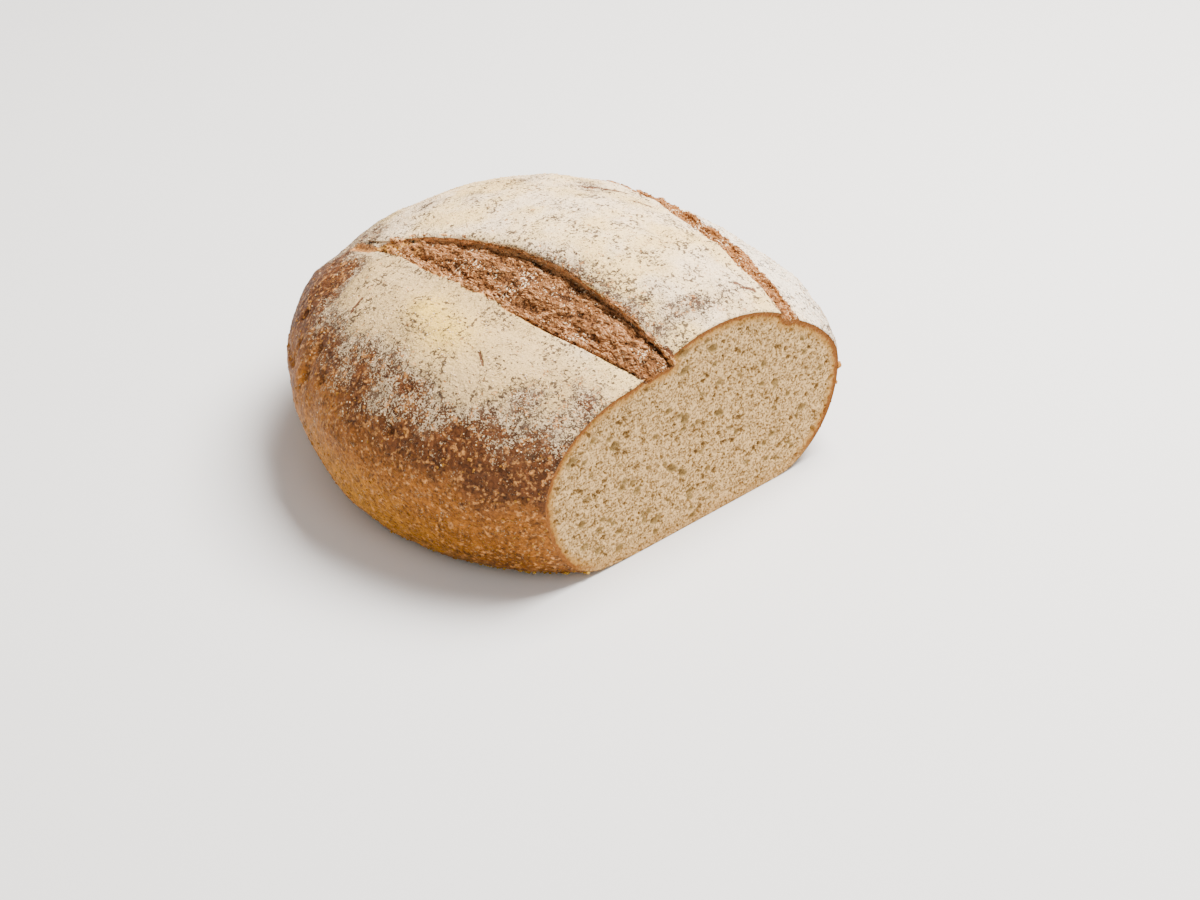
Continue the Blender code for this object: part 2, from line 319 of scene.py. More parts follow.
left_slash = Slash("left", -25.5 * MM, -48.5 * MM, -3.0 * MM, 38.0 * MM, 12.0)
right_slash = Slash("right", 64.0 * MM, 95.0 * MM, 6.0 * MM, 26.0 * MM, 28.0)
for slash in (left_slash, right_slash):
    print(slash.name, "slash at the cut, x in mm:", round(float(slash.middle(CUT_Y)) / MM, 1))

# %% [markdown]
# ## The baked skin
# The skin is the outside of the loaf from the cut back. It could be sculpted, but the CAD solid
# already has its form, so a copy of that mesh is cleaned, given back its four-sided faces, and
# smoothed by a subdivision surface. Lips of slashes stay crisp because sharp edges are creased first.

# %% Helpers that read and move points
def rows_of(items, name, width=3, kind=float):
    """One value of every vertex, edge or face, as rows of numbers."""
    rows = np.empty(len(items) * width, dtype=kind)
    items.foreach_get(name, rows)
    return rows.reshape(-1, width)


def points_of(piece):
    return rows_of(piece.data.vertices, "co")


def directions_of(piece):
    return rows_of(piece.data.vertices, "normal")


def face_table(piece):
    """Middle and normal of every face."""
    return rows_of(piece.data.polygons, "center"), rows_of(piece.data.polygons, "normal")


def move_points(piece, places):
    piece.data.vertices.foreach_set("co", places.astype(np.float32).ravel())
    piece.data.update()


def keep_values(piece, name, values):
    """Stores one number per vertex, for a finish to read."""
    attribute = piece.data.attributes.new(name, "FLOAT", "POINT")
    attribute.data.foreach_set("value", np.asarray(values, dtype=np.float32))


def tree_of(places):
    """Finds the nearest of these places quickly."""
    tree = kdtree.KDTree(len(places))
    for index, place in enumerate(places):
        tree.insert(place, index)
    tree.balance()
    return tree


def add_piece(name, mesh):
    """A new object that shows this mesh."""
    piece = bpy.data.objects.new(name, mesh)
    bpy.context.scene.collection.objects.link(piece)
    return piece


def clouds(places, size, seed):
    """Cloudy values from -1 to 1 at these places, in blotches about this big along each axis."""
    shift = np.array((seed, -0.7 * seed, 0.3 * seed))
    return np.array([noise.noise(place) for place in places / np.asarray(size) + shift])


def rough(places, kinds):
    """Several kinds of clouds added up: each one's strength and size in mm, and its seed."""
    return sum(strength * MM * clouds(places, np.asarray(size) * MM, seed) for strength, size, seed in kinds)


def hump(places, spot, reach):
    """1 at a spot given in mm, falling to 0 over about this reach."""
    away = np.linalg.norm(places - np.array(spot) * MM, axis=1)
    return np.exp(-((away / reach) ** 2))


def soft_step(value, start, end):
    """Rises softly from 0 at start to 1 at end."""
    share = np.clip((value - start) / (end - start), 0.0, 1.0)
    return share * share * (3.0 - 2.0 * share)


# %% Helpers that select and finish
def select_only(piece):
    deselect()
    piece.select_set(True)
    bpy.context.view_layer.objects.active = piece


def start_edit(piece, wanted_faces=None):
    """Opens a piece in edit mode with only these faces selected, or with everything."""
    select_only(piece)
    bpy.ops.object.mode_set(mode="EDIT")
    bpy.ops.mesh.select_mode(type="FACE")
    bpy.ops.mesh.select_all(action="SELECT" if wanted_faces is None else "DESELECT")
    bpy.ops.object.mode_set(mode="OBJECT")
    if wanted_faces is not None:
        piece.data.polygons.foreach_set("select", np.asarray(wanted_faces, dtype=bool))
    bpy.ops.object.mode_set(mode="EDIT")


def end_edit():
    bpy.ops.object.mode_set(mode="OBJECT")


def delete_faces(piece, unwanted):
    start_edit(piece, unwanted)
    bpy.ops.mesh.delete(type="FACE")
    end_edit()


def finish_modifier(piece, kind, **settings):
    """Adds a modifier to a piece and applies it."""
    select_only(piece)
    modifier = piece.modifiers.new(kind.lower(), kind)
    for name, value in settings.items():
        setattr(modifier, name, value)
    bpy.ops.object.modifier_apply(modifier=modifier.name)


def close_behind(piece, depth, narrowing):
    """Pulls a piece's open edge back from the cut, narrows it there and closes it."""
    start_edit(piece)
    bpy.ops.mesh.select_mode(type="EDGE")
    bpy.ops.mesh.select_non_manifold(extend=False)
    bpy.ops.mesh.extrude_region_move(TRANSFORM_OT_translate={"value": (0.0, depth, 0.0)})
    bpy.ops.transform.resize(value=narrowing, center_override=(0.0, CUT_Y, 50.0 * MM))
    bpy.ops.mesh.edge_face_add()
    bpy.ops.mesh.select_all(action="SELECT")
    bpy.ops.mesh.normals_make_consistent(inside=False)
    end_edit()


def hand_over(piece, finish):
    """Smooths a finished piece, gives it its finish and makes it part of the loaf."""
    select_only(piece)
    bpy.ops.object.shade_smooth()
    piece.data.materials.clear()
    piece.data.materials.append(finish.material)
    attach(piece, "root")
    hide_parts("loaf")
    print(piece.name, "faces:", len(piece.data.polygons))


# %% Copy the CAD loaf as a skin
crust = add_piece("crust", loaf.data.copy())
crust.data.materials.clear()
start_edit(crust)
bpy.ops.mesh.remove_doubles(threshold=0.01 * MM)
end_edit()
middles, normals = face_table(crust)
on_cut = (normals[:, 1] < -0.999) & (middles[:, 1] < CUT_Y + 0.02 * MM)
delete_faces(crust, on_cut)
print("skin faces:", len(crust.data.polygons), "cut faces removed:", int(on_cut.sum()))

# %% [markdown]
# Without the cut face, the dents of the larger pores hang loose behind it. They are parted from the
# skin. Their places and sizes are kept, because the crumb gets its larger pores there.

# %% Part the pores from the skin
start_edit(crust)
bpy.ops.mesh.separate(type="LOOSE")
end_edit()
parts = sorted(bpy.context.selected_objects, key=lambda part: len(part.data.polygons))
crust = parts.pop()
crust.name = "crust"
large_pores = []
for part in parts:
    places = points_of(part)
    size = places.max(axis=0) - places.min(axis=0)
    middle = (places.max(axis=0) + places.min(axis=0)) / 2.0
    large_pores.append((middle[0], middle[2], size[0] / 2.0, size[2] / 2.0))
    bpy.data.objects.remove(part)
print("larger pores:", len(large_pores))

# %% Smooth the skin
SHARP_ANGLE = math.radians(38.0)
LIP_CREASE = 0.75

start_edit(crust)
bpy.ops.mesh.tris_convert_to_quads(face_threshold=math.radians(70.0), shape_threshold=math.radians(80.0))
bpy.ops.mesh.select_all(action="DESELECT")
bpy.ops.mesh.select_mode(type="EDGE")
bpy.ops.mesh.edges_select_sharp(sharpness=SHARP_ANGLE)
bpy.ops.transform.edge_crease(value=LIP_CREASE)
end_edit()
finish_modifier(crust, "SUBSURF", levels=2, render_levels=2)
print("skin faces after smoothing:", len(crust.data.polygons))

# %% [markdown]
# ## Telling skin from torn floor
# Between its lips a slash sinks below the smooth dome. The smooth dome is the CAD model's own
# formula, a squashed ball with its own roundness on each side, so the depth under it tells which
# faces are torn dough and which are skin.

# %% How far a point lies below the smooth dome
LEFT_REACH = 140.0 * MM
RIGHT_REACH = 134.0 * MM
BACK_REACH = 154.0 * MM
FRONT_REACH = 139.0 * MM
CUT_DISTANCE = 93.5 * MM
HEIGHT = 129.5 * MM
WIDEST_HEIGHT = 55.5 * MM
LEFT_ROUNDNESS = 1.95
RIGHT_ROUNDNESS = 2.2
DOME_ROUNDNESS = 1.8
DOME_LEAN = 5.7 * MM


def dome_height(x, y):
    """Height of the smooth dome over a place."""
    right = x > DOME_X + DOME_LEAN
    away_x = np.abs(x - DOME_X - DOME_LEAN) / np.where(right, RIGHT_REACH, LEFT_REACH)
    back = y > CUT_Y + CUT_DISTANCE
    away_y = np.abs(y - CUT_Y - CUT_DISTANCE) / np.where(back, BACK_REACH, FRONT_REACH)
    roundness = np.where(right, RIGHT_ROUNDNESS, LEFT_ROUNDNESS)
    reach = np.minimum((away_x**roundness + away_y**roundness) ** (1.0 / roundness), 1.0)
    return WIDEST_HEIGHT + (HEIGHT - WIDEST_HEIGHT) * (1.0 - reach**DOME_ROUNDNESS) ** (1.0 / DOME_ROUNDNESS)


# %% [markdown]
# On the real loaf the right slash runs a few millimetres nearer the middle of the top than the CAD
# line does. Rather than cut it anew, the skin is slid sideways there: most at the slash, not at all
# at the cut or far from it, and up or down by as much as the dome rises, so the form is kept.

# %% Nudge the right slash
NUDGE = -6.5 * MM
SLIDE_NEAR = 16.0 * MM
SLIDE_FAR = 34.0 * MM

places = points_of(crust)
x, y, z = places.T
beside = np.abs(x - right_slash.middle(y))
share = (1.0 - soft_step(beside, SLIDE_NEAR, SLIDE_FAR)) * soft_step(z, 60.0 * MM, 80.0 * MM)
share *= np.clip((y - CUT_Y - NUDGE_START) / NUDGE_RAMP, 0.0, 1.0)
slid = x + NUDGE * share
places[:, 2] += dome_height(slid, y) - dome_height(x, y)
places[:, 0] = slid
move_points(crust, places)
right_slash.nudge = NUDGE
print("points slid:", int((share > 0.0).sum()))


# %% How deep a place lies in a slash
NEAR_EDGE = -1.02


def depth_share(slash, places):
    """How deep each place lies in a slash: 0 at the lips and 1 at its deepest."""
    x, y, z = places.T
    across = slash.across(x, y)
    between = (across > NEAR_EDGE) & (across < slash.far_edge)
    open_enough = (slash.opening(y) * slash.half_width > 1.0 * MM) & (y < CUT_Y + SLASH_END)
    below = (dome_height(x, y) - z) / np.maximum(slash.depth * slash.opening(y), 0.5 * MM)
    return np.where(between & open_enough & (below < 2.0), np.clip(below, 0.0, 1.5), 0.0)


def deepest_share(places):
    """How deep each place lies in whichever slash holds it."""
    return np.maximum(depth_share(left_slash, places), depth_share(right_slash, places))


for slash, far_edge, depth, swell in ((left_slash, 1.10, 10.5, 1.0), (right_slash, 1.02, 9.6, 0.5)):
    slash.far_edge = far_edge
    slash.depth = depth * MM
    slash.swell = swell
TORN_SHARE = 0.04

middles, normals = face_table(crust)
for slash in (left_slash, right_slash):
    slash.torn_faces = depth_share(slash, middles) > TORN_SHARE
    print(slash.name, "slash, torn faces:", int(slash.torn_faces.sum()))

# %% [markdown]
# ## The torn floors
# The dough tears as it bursts, so a floor is rough all over: ropes of gluten, flakes and pits. A
# copy of the torn faces is divided finely and pushed about by noise that is stretched along the
# slash, its edge is tucked under the lips, and it gets a thickness, so it is a closed piece.

# %% Tear the floors out of the skin
FLOOR_CUTS = 2
FLOOR_THICKNESS = 1.2 * MM
EDGE_TUCK = 0.8 * MM
FLOOR_SWELL = 3.6 * MM
ROPES_FLAKES_GRAIN = (
    (1.5, (5.0, 13.0, 5.0), 3.0), (1.25, (2.2, 4.5, 2.2), 9.0), (0.7, (1.0, 1.6, 1.0), 21.0),
)


def edge_share(piece, reach):
    """1 at the open edge of a piece, falling to 0 this far inside it."""
    edges = rows_of(piece.data.edges, "vertices", 2, int)
    uses = np.bincount(rows_of(piece.data.loops, "edge_index", 1, int)[:, 0], minlength=len(edges))
    places = points_of(piece)
    tree = tree_of(places[np.unique(edges[uses == 1])])
    distance = np.array([tree.find(place)[2] for place in places])
    return 1.0 - soft_step(distance, 0.0, reach)


def along_slash(slash, places):
    """Places turned so that the second axis runs along the slash."""
    lead = slash.back_x - slash.front_x
    angle = math.atan2(lead, SLASH_END - SLASH_START)
    x, y, z = places.T
    across = x * math.cos(angle) - y * math.sin(angle)
    return np.column_stack((across, x * math.sin(angle) + y * math.cos(angle), z))


def make_floor(slash):
    floor_piece = add_piece("torn_floor_" + slash.name, crust.data.copy())
    delete_faces(floor_piece, ~slash.torn_faces)
    start_edit(floor_piece)
    bpy.ops.mesh.subdivide(number_cuts=FLOOR_CUTS, smoothness=0.6)
    end_edit()
    places = points_of(floor_piece)
    directions = directions_of(floor_piece)
    turned = along_slash(slash, places)
    rise = rough(turned, ROPES_FLAKES_GRAIN)
    tuck = edge_share(floor_piece, 2.2 * MM)
    across = slash.across(places[:, 0], places[:, 1])
    swell = soft_step(across, -0.75, 0.1) * (1.0 - soft_step(across, 0.72, 1.02))
    keep_values(floor_piece, "rise", rise / MM)
    # The steep wall under the right lip is kept here, to be painted lighter as painted light.
    keep_values(floor_piece, "wall_light", (1.0 - soft_step(directions[:, 2], 0.0, 0.5)) * (across > 0.3))
    rise += FLOOR_SWELL * slash.swell * swell * slash.opening(places[:, 1]) * (directions[:, 2] > 0.2)
    rise = rise * (1.0 - 0.5 * tuck) - EDGE_TUCK * tuck
    moved = places + directions * rise[:, None]
    moved[:, 1] = np.maximum(moved[:, 1], CUT_Y)
    move_points(floor_piece, moved)
    finish_modifier(floor_piece, "SOLIDIFY", thickness=FLOOR_THICKNESS, offset=-1.0)
    return floor_piece


floor_left = make_floor(left_slash)
floor_right = make_floor(right_slash)

# %% [markdown]
# ## The skin's relief
# A baked skin isn't smooth: the dough swells unevenly, bran and blisters stand up, and the left
# side carries creases where it was folded in. Displacement by noise along the normals makes them,
# and under the torn floors the skin sinks away, so that the two never touch.

# %% Swell and grain the skin
SWELLS_BUMPS_GRAIN = ((0.95, 19.0, 1.0), (0.4, 6.0, 5.0), (0.34, 2.6, 8.0))

places = points_of(crust)
directions = directions_of(crust)
x, y, z = places.T
rise = rough(places, SWELLS_BUMPS_GRAIN) * soft_step(z, 0.5 * MM, 9.0 * MM)

# %% [markdown]
# Each crease is a short upright groove, given by its place, its height and its width in mm. They
# lean a little, as the fold did, and one round hole lies apart from them, nearer the cut.

# %% Crease the left side
CREASES = (
    (-121.8, 13.4, 75.7, 6.0, 2.4), (-109.7, 31.2, 80.1, 6.0, 2.2), (-117.9, 32.3, 68.5, 9.0, 2.6),
    (-90.6, 67.2, 79.1, 7.0, 2.2), (-105.0, 54.0, 71.0, 8.0, 2.2),
)
CREASE_DEPTH = 3.0 * MM
CREASE_LEAN = 0.35
HOLE = (-127.0, -46.0, 76.0)
HOLE_REACH = 2.4 * MM

crease = np.zeros(len(places))
for *spot, height, width in CREASES:
    away = places - np.array(spot) * MM
    upright = np.abs(away[:, 2] + CREASE_LEAN * away[:, 1]) / (height * MM)
    sideways = np.linalg.norm(away[:, :2], axis=1) / (width * MM)
    crease += np.exp(-(sideways**2)) * np.exp(-(upright**2))
crease = np.clip(crease + 0.9 * hump(places, HOLE, HOLE_REACH), 0.0, 1.0)
keep_values(crust, "crease", crease)
rise -= CREASE_DEPTH * crease

# %% Coarsen the foot
FOOT_LUMPS = ((1.0, 3.4, 30.0), (0.5, 1.8, 33.0))

foot = soft_step(z, 0.2 * MM, 1.5 * MM) * (1.0 - soft_step(z, 3.0 * MM, 8.0 * MM))
rise += foot * rough(places, FOOT_LUMPS)

# %% [markdown]
# The left slash ends in a tail, a narrow groove that hooks to the right, and behind it the lobe
# steps down to a lower shoulder. Both follow wavering lines, seen from above.

# %% Draw the tail and the shoulder
TAIL = ((-45.5, 50.0), (-47.0, 64.0), (-43.5, 81.0))
TAIL_DEPTH = 2.2 * MM
TAIL_WIDTH = 2.4 * MM
SHOULDER_STEP = 1.5 * MM
TOP_SIDE = 60.0 * MM

waver = 1.0 * MM * clouds(places, 5.0 * MM, 62.0)[:, None]
tail = np.zeros(len(places))
for start, end in zip(TAIL, TAIL[1:]):
    start, along = np.array(start) * MM, (np.array(end) - np.array(start)) * MM
    away = places[:, :2] - start + waver
    share = np.clip(away @ along / (along @ along), 0.0, 1.0)
    distance = np.linalg.norm(away - share[:, None] * along, axis=1)
    tail = np.maximum(tail, np.exp(-((distance / TAIL_WIDTH) ** 2)))
tail *= z > TOP_SIDE
rise -= TAIL_DEPTH * tail
shoulder = soft_step(y + 3.0 * MM * clouds(places, 12.0 * MM, 64.0), 47.0 * MM, 52.0 * MM)
shoulder *= (1.0 - soft_step(x, -64.0 * MM, -52.0 * MM)) * (z > TOP_SIDE)
rise -= SHOULDER_STEP * shoulder * (1.0 - soft_step(y, 60.0 * MM, 85.0 * MM))

# %% Rag the lips, sink the skin under the floors and move it
LIP_RAG = 1.1 * MM
FLOOR_STEP_DOWN = 2.4 * MM

deep = deepest_share(places)
lip = soft_step(deep, 0.01, 0.12) * (1.0 - soft_step(deep, 0.35, 0.7))
rise += LIP_RAG * lip * clouds(places, 2.8 * MM, 66.0)
rise -= FLOOR_STEP_DOWN * soft_step(deep, TORN_SHARE + 0.18, TORN_SHARE + 0.42)
behind_cut = soft_step(y, CUT_Y, CUT_Y + 3.0 * MM)
moved = places + directions * rise[:, None] * behind_cut[:, None]
on_edge = y < CUT_Y + 0.01 * MM
on_base = z < 0.05 * MM
moved[:, 1] = np.where(on_edge, CUT_Y, np.maximum(moved[:, 1], CUT_Y + 0.05 * MM))
moved[:, 2] = np.maximum(np.where(on_base, z, moved[:, 2]), 0.0)
move_points(crust, moved)
print("skin relief in mm:", round(rise.min() / MM, 2), "to", round(rise.max() / MM, 2))

# %% [markdown]
# ## Where the flour lies
# Flour from the proving basket covers the top and thins out down the sides, in specks rather than
# in a soft fade. Every vertex stores how much flour lies there, and the finish breaks that up into
# specks. Some places on the top were rubbed thin.

# %% Let the flour thin out down the sides
FLOUR_LOW = 68.0 * MM
FLOUR_SPAN = 37.0 * MM
EDGE_WAVES = ((5.0, 24.0, 40.0), (4.0, 9.0, 44.0))

places = moved
x, y, z = places.T
climb = z - FLOUR_LOW + 24.0 * MM * soft_step(x, 35.0 * MM, 90.0 * MM)
climb += rough(places, EDGE_WAVES)
flour = 1.12 * np.clip(climb / FLOUR_SPAN, 0.0, 1.0) ** 1.15

# %% [markdown]
# Each rubbed place is given by its place and reach in mm, and by the share of flour that it lost.

# %% Rub some places thin
RUBBED = (
    (-102, -20, 100, 13, 0.32), (-108, -34, 95, 12, 0.30), (-110, -52, 94, 11, 0.22),
    (-110, -5, 94, 12, 0.25), (-13, -70, 114, 7, 0.5), (3, -108, 116, 11, 0.55),
    (17, -110, 117, 9, 0.45), (-14, -92, 114, 8, 0.4), (35, -112, 115, 12, 0.35),
    (-63, -114, 98, 11, 0.35), (-62, -96, 105, 6, 0.3), (-90, -100, 88, 12, 0.2),
    (-115, -80, 81, 8, 0.2), (52, 0, 122, 13, 0.35), (60, 12, 119, 9, 0.35),
    (-70, 70, 98, 18, 0.25), (37, 43, 118, 10, 0.35), (-7, 63, 112, 11, 0.40),
    (7, 48, 118, 8, 0.35), (-28, 79, 100, 15, 0.25), (-104, 32, 92, 22, 0.22),
    (60, -25, 122, 7, 0.25), (-64, 77, 90, 16, 0.25), (-40, 79, 96, 14, 0.25),
    (-84, 68, 84, 16, 0.15), (-92, -16, 108, 7, 0.25), (-120, -14, 87, 9, 0.25),
    (4, -90, 123, 9, 0.28), (-84, -94, 99, 9, 0.30), (-75, -100, 100, 7, 0.25),
)

for *spot, reach, loss in RUBBED:
    flour -= loss * hump(places, spot, reach * MM)
flour -= 0.20 * shoulder
flour += 0.26 * np.minimum(clouds(places, 11.0 * MM, 46.0), 0.1) - 0.02

# %% [markdown]
# Beyond the right lip of the large slash the dough stretched, so the flour cracked and thinned, most
# near the cut. Where the slashes meet the cut there is none.

# %% Thin the flour at the lips and keep it
LIP_LOSS = 0.55
LIP_START = 0.8
LIP_REACH = 11.0 * MM

beyond_lip = (left_slash.across(x, y) - LIP_START) * left_slash.half_width * left_slash.opening(y)
lip = np.exp(-((np.maximum(beyond_lip, 0.0) / LIP_REACH) ** 2)) * (beyond_lip > 0.0)
flour -= LIP_LOSS * lip * (1.0 - soft_step(y, -50.0 * MM, 10.0 * MM)) * (y > CUT_Y + 1.0 * MM)
at_cut = 1.0 - soft_step(y, CUT_Y + 2.0 * MM, CUT_Y + 7.0 * MM)
for slash in (left_slash, right_slash):
    flour -= 1.2 * at_cut * (np.abs(x - slash.middle(y)) < slash.half_width * slash.opening(y) + 1.5 * MM)
keep_values(crust, "flour", np.clip(flour, 0.0, 1.2))
torn = np.maximum(soft_step(deepest_share(places), 0.02, 0.2), soft_step(tail, 0.15, 0.6))
keep_values(crust, "torn", torn)
print("share of floured points:", round(float((flour > 0.5).mean()), 2))

# %% Where the flour is yellow
YELLOW_SPOTS = ((-83.0, -38.0, 111.0, 15.0), (-78.0, -16.0, 114.0, 12.0))

yellow = sum(0.9 * hump(places, spot, reach * MM) for *spot, reach in YELLOW_SPOTS)
keep_values(crust, "yellow", np.clip(yellow, 0.0, 1.0))

# %% [markdown]
# The faces that close the skin lie inside the loaf, behind the crumb. They come last in the mesh, so
# the number of faces before them is kept, and no flour or bran is strewn on them later.

# %% Close the skin behind the cut
open_faces = len(crust.data.polygons)
close_behind(crust, 3.5 * MM, (0.975, 1.0, 0.96))
print("skin is closed, faces:", len(crust.data.polygons))

# %% [markdown]
# ## The crumb
# The cut shows the crumb: a sponge of cells, cream walls round darker pits. A fine grid is laid
# over the cut, trimmed to the skin's outline, and dented pore by pore: the larger ones where the
# CAD model has them, then hundreds of middling ones and thousands of fine ones, of seeded places.

# %% The outline of the cut
def cut_outline():
    """The skin's edge on the cut plane as a ring of places, in order."""
    ring = {}
    places = points_of(crust)
    for edge in crust.data.edges:
        first, second = edge.vertices
        if max(places[first][1], places[second][1]) < CUT_Y + 0.02 * MM:
            ring.setdefault(first, []).append(second)
            ring.setdefault(second, []).append(first)
    start = min(ring)
    order = [start, ring[start][0]]
    while True:
        following = [index for index in ring[order[-1]] if index != order[-2]]
        if not following or following[0] == start:
            break
        order.append(following[0])
    return places[order][:, [0, 2]]


outline = cut_outline()
print("outline points:", len(outline), "of width in mm:", round(np.ptp(outline[:, 0]) / MM, 1))

# %% Lay and trim the grid
CELL = 0.5 * MM
SLAB = 4.0 * MM

low = outline.min(axis=0) - CELL
steps = np.ceil((outline.max(axis=0) + CELL - low) / CELL).astype(int)
span = steps * CELL
deselect()
bpy.ops.mesh.primitive_grid_add(
    x_subdivisions=int(steps[0]), y_subdivisions=int(steps[1]), size=1.0,
    location=(low[0] + span[0] / 2.0, CUT_Y, low[1] + span[1] / 2.0), rotation=(math.pi / 2.0, 0.0, 0.0),
)
crumb = bpy.context.object
crumb.name = "crumb"
crumb.scale = (span[0], span[1], 1.0)
bpy.ops.object.transform_apply(location=True, rotation=True, scale=True)


def inside(points, ring):
    """Whether points lie within a ring: each edge that a ray to the right crosses flips the answer."""
    answer = np.zeros(len(points), dtype=bool)
    for (x1, z1), (x2, z2) in zip(ring, np.roll(ring, -1, axis=0)):
        crosses = (z1 > points[:, 1]) != (z2 > points[:, 1])
        if z1 != z2:
            answer ^= crosses & (points[:, 0] < (x2 - x1) * (points[:, 1] - z1) / (z2 - z1) + x1)
    return answer


middles, normals = face_table(crumb)
delete_faces(crumb, ~inside(middles[:, [0, 2]], outline))
print("crumb faces:", len(crumb.data.polygons))

# %% Distance from the rim
RING_STEP = 0.25 * MM


def ring_points(ring, step):
    """Points at even steps round a ring."""
    closed = np.vstack((ring, ring[:1]))
    lengths = np.concatenate(((0.0,), np.cumsum(np.linalg.norm(np.diff(closed, axis=0), axis=1))))
    marks = np.arange(0.0, lengths[-1], step)
    return np.column_stack([np.interp(marks, lengths, closed[:, axis]) for axis in (0, 1)])


rim_tree = tree_of([(x, 0.0, z) for x, z in ring_points(outline, RING_STEP)])
places = points_of(crumb)
nearest = [rim_tree.find((x, 0.0, z)) for x, y, z in places]
rim_distance = np.array([found[2] for found in nearest])
rim_place = np.array([found[0] for found in nearest])

# %% Pores at seeded places
# Each kind: how many there are, and the smallest and largest radius in mm.
ROUND = ((64, 1.4, 2.8),)
MIDDLING_AND_FINE = ((420, 0.8, 1.7), (2600, 0.4, 0.85))


def more_pores(kinds):
    """Each pore's place, half sizes, turn and depth."""
    pores = []
    width, height = outline.max(axis=0) - outline.min(axis=0)
    for count, smallest, largest in kinds:
        for _ in range(count):
            x = outline[:, 0].min() + chance.random() * width
            z = outline[:, 1].min() + chance.random() * height
            radius = (smallest + (largest - smallest) * chance.random() ** 2) * MM
            stretch = 1.0 + 0.7 * chance.random()
            pores.append((x, z, radius * stretch, radius, chance.uniform(-0.9, 0.9), radius * 1.25))
    return pores


# %% How deep pores dent the crumb
PORE_LEAN = 0.45


def pore_depths(places, pores):
    """The deepest dent at each place."""
    warp = np.column_stack((clouds(places, 2.4 * MM, 60.0), clouds(places, 2.4 * MM, 70.0))) * 0.55 * MM
    flat = places[:, [0, 2]] + warp
    depth = np.zeros(len(flat))
    order = np.argsort(flat[:, 0])
    sorted_x = flat[order, 0]
    for x, z, half_x, half_z, turn, deep in pores:
        reach = max(half_x, half_z)
        chosen = order[np.searchsorted(sorted_x, x - reach):np.searchsorted(sorted_x, x + reach)]
        chosen = chosen[np.abs(flat[chosen, 1] - z) < reach]
        away = flat[chosen] - (x, z)
        across = (away[:, 0] * math.cos(turn) + away[:, 1] * math.sin(turn)) / half_x
        along = (away[:, 1] * math.cos(turn) - away[:, 0] * math.sin(turn)) / half_z
        bowl = 1.0 - np.clip(across**2 + along**2, 0.0, 1.0)
        depth[chosen] = np.maximum(depth[chosen], deep * bowl**0.6 * (1.0 + PORE_LEAN * along))
    return depth


# %% Dent the pores
CAD_PORE_GROWTH = 1.15
RIM_KEPT = (0.8 * MM, 3.5 * MM)

round_pores = [
    (x, z, CAD_PORE_GROWTH * half_x, CAD_PORE_GROWTH * half_z, 0.0, 1.3 * min(half_x, half_z))
    for x, z, half_x, half_z in large_pores
]
round_pores += more_pores(ROUND)
away_from_rim = soft_step(rim_distance, *RIM_KEPT)
bowl = pore_depths(places, round_pores) * away_from_rim
small = pore_depths(places, more_pores(MIDDLING_AND_FINE)) * away_from_rim
depth = np.maximum(bowl, small)
print("pores:", len(round_pores), "deepest in mm:", round(depth.max() / MM, 2))

# %% [markdown]
# Between the pores the crumb is a sponge of finer cells still. Cells of two sizes, at places that
# wander a little, raise the walls between them, and the grid's last row is laid on the skin's edge.

# %% Raise the sponge
CELL_SIZES = (1.9 * MM, 1.05 * MM)
CELL_DEPTHS = (0.8 * MM, 0.55 * MM)
SET_BACK = 0.45 * MM

wander = 0.5 * MM * np.column_stack([clouds(places, 1.6 * MM, seed) for seed in (81.0, 82.0, 83.0)])
sponge = 0.0
for size, cell_depth in zip(CELL_SIZES, CELL_DEPTHS):
    middles = np.array([noise.voronoi(place)[0][0] for place in (places + wander) / size])
    sponge = sponge + cell_depth * (0.5 - middles)
roughness = sponge + 0.25 * MM * clouds(places, 6.0 * MM, 90.0)
edge = rim_distance < 0.75 * CELL
roughness *= soft_step(rim_distance, 0.0, 2.0 * MM)
places[:, 1] = CUT_Y + np.maximum(depth + SET_BACK + roughness, 0.0)
places[edge] = rim_place[edge]
places[edge, 1] = CUT_Y
move_points(crumb, places)
keep_values(crumb, "rim", rim_distance / MM)
# The dent depths are kept for the finish, which paints shade in the pits and pores.
keep_values(crumb, "depth", (places[:, 1] - CUT_Y - bowl) / MM)
keep_values(crumb, "bowl", bowl / (1.5 * MM))
print("crumb points:", len(places))

# %% Give the crumb its back
close_behind(crumb, SLAB, (0.985, 1.0, 0.98))
print("crumb is closed, faces:", len(crumb.data.polygons))

# %% [markdown]
# ## The finish of the skin
# Baked skin is golden low on the sides, browner higher up, and darkest just under the flour. The
# flour lies over it in specks: its share on each vertex is compared with noise of three sizes, so it
# breaks up where it is thin. Fine dark lines are cracks where the dough stretched under its flour.
# Every colour is deeper than it looks, because strong light and the picture's tone curve wash it out.

# %% Colours of the skin, the flour and the cracks
GOLDEN = (0.43, 0.172, 0.010)
FRONT_SHADE_GOLDEN = (0.12, 0.038, 0.001)
BROWN = (0.29, 0.098, 0.012)
DARK_BROWN = (0.100, 0.034, 0.0115)
TORN_BROWN = (0.46, 0.20, 0.06)
VEIL = (0.32, 0.22, 0.135)
BRAN = (0.60, 0.30, 0.05)
FOOT_YELLOW = (0.30, 0.15, 0.006)
UNDER_FLOUR = (0.055, 0.025, 0.014)
DARK_PIT_AND_CREASE_SHADE = (0.075, 0.025, 0.007)
WHITE_FLOUR = (0.98, 0.75, 0.48)
CREAM_FLOUR = (0.95, 0.66, 0.28)
LEFT_CREAM_AND_SHADE_FLOUR = (0.66, 0.44, 0.19)
FLANK_FLOUR = (0.86, 0.64, 0.39)
RIGHT_WHITE_AND_LIT_FLOUR = (0.98, 0.82, 0.64)
YELLOW_FLOUR = (0.84, 0.54, 0.11)
SPECK = (0.075, 0.046, 0.030)
CRACK_BROWN = (0.13, 0.052, 0.028)

